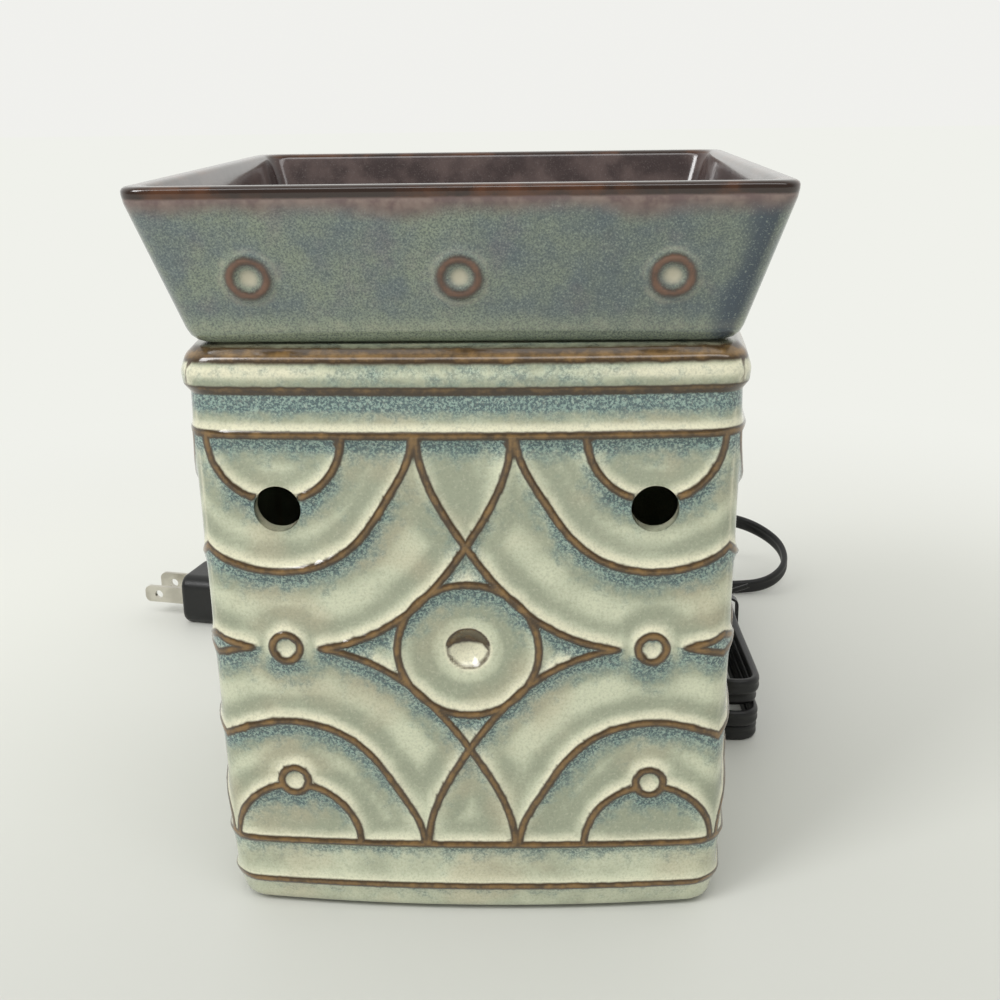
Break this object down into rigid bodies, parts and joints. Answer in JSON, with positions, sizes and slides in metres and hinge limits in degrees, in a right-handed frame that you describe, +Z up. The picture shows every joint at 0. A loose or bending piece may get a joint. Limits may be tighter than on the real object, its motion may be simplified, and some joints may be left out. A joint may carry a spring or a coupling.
{
  "type": "wax melt warmer",
  "caption": "Square ceramic wax melt warmer: lift-off flared dish on a ring-patterned lantern body that hides a screw-in lamp, with a bundled cord, in-line switch and plug.",
  "frame": {"origin": "on the table under the middle of the body", "axes": "+Z up, front towards -Y, +X to the right seen from the front"},
  "size_m": [0.2547, 0.2597, 0.1768],
  "materials": {
    "body_glaze": "gloss reactive glaze, grey green and cream, brown where it breaks over the ridges",
    "dish_glaze": "gloss reactive glaze, grey green field below a purple brown rim",
    "foot_rubber": "matt",
    "zinc_steel": "zinc plated",
    "holder_porcelain": "unglazed, pale",
    "contact_brass": "bright",
    "cap_metal": "satin",
    "cap_insulation": "black, gloss",
    "lamp_glass": "clear",
    "filament_metal": "drawn wire",
    "cord_black": "satin, finely ribbed",
    "lead_white": "satin",
    "tie_black": "satin",
    "switch_black": "fine moulded texture",
    "wheel_grey": "satin, notched rim",
    "plug_black": "moulded, satin",
    "blade_nickel": "nickel plated"
  },
  "bodies": {
    "base": {"body_shell": "body_glaze", "body_crown": "body_glaze", "raised_lines": "body_glaze", "rubber_feet": "foot_rubber", "threaded_nipple": "zinc_steel", "nipple_nuts": "zinc_steel", "nipple_washer": "zinc_steel", "nipple_lock_washer": "zinc_steel", "holder_strap": "zinc_steel", "strap_screws": "zinc_steel", "lamp_holder": "holder_porcelain", "terminal_screws": "contact_brass", "holder_screw_shell": "contact_brass", "holder_centre_contact": "contact_brass", "lamp_cap": "cap_metal", "lamp_insulator": "cap_insulation", "lamp_contact": "cap_metal", "lamp_globe": "lamp_glass", "lamp_stem": "lamp_glass", "lamp_filament": "filament_metal", "cord_grommet": "cord_black", "live_lead": "cord_black", "neutral_lead": "lead_white", "cord_lead": "cord_black", "cord_hank": "cord_black", "cord_tie": "tie_black", "cord_loop": "cord_black", "cord_tail": "cord_black", "switch_case_lower": "switch_black", "switch_case_upper": "switch_black", "switch_axle": "zinc_steel", "switch_contacts": "contact_brass", "switch_screws": "zinc_steel", "plug_body": "plug_black", "plug_blade_live": "blade_nickel", "plug_blade_neutral": "blade_nickel"},
    "dish": {"wax_dish": "dish_glaze"},
    "thumb_wheel": {"switch_wheel": "wheel_grey"}
  },
  "joints": [
    {"name": "dish_lift", "type": "slide", "parent": "base", "child": "dish", "axis": [0, 0, 1], "range_m": [0, 0.06]},
    {"name": "wheel_turn", "type": "hinge", "parent": "base", "child": "thumb_wheel", "pos_m": [0.01, 0.1355, 0.011], "axis": [-0.2419, 0.9703, 0], "continuous": true}
  ]
}
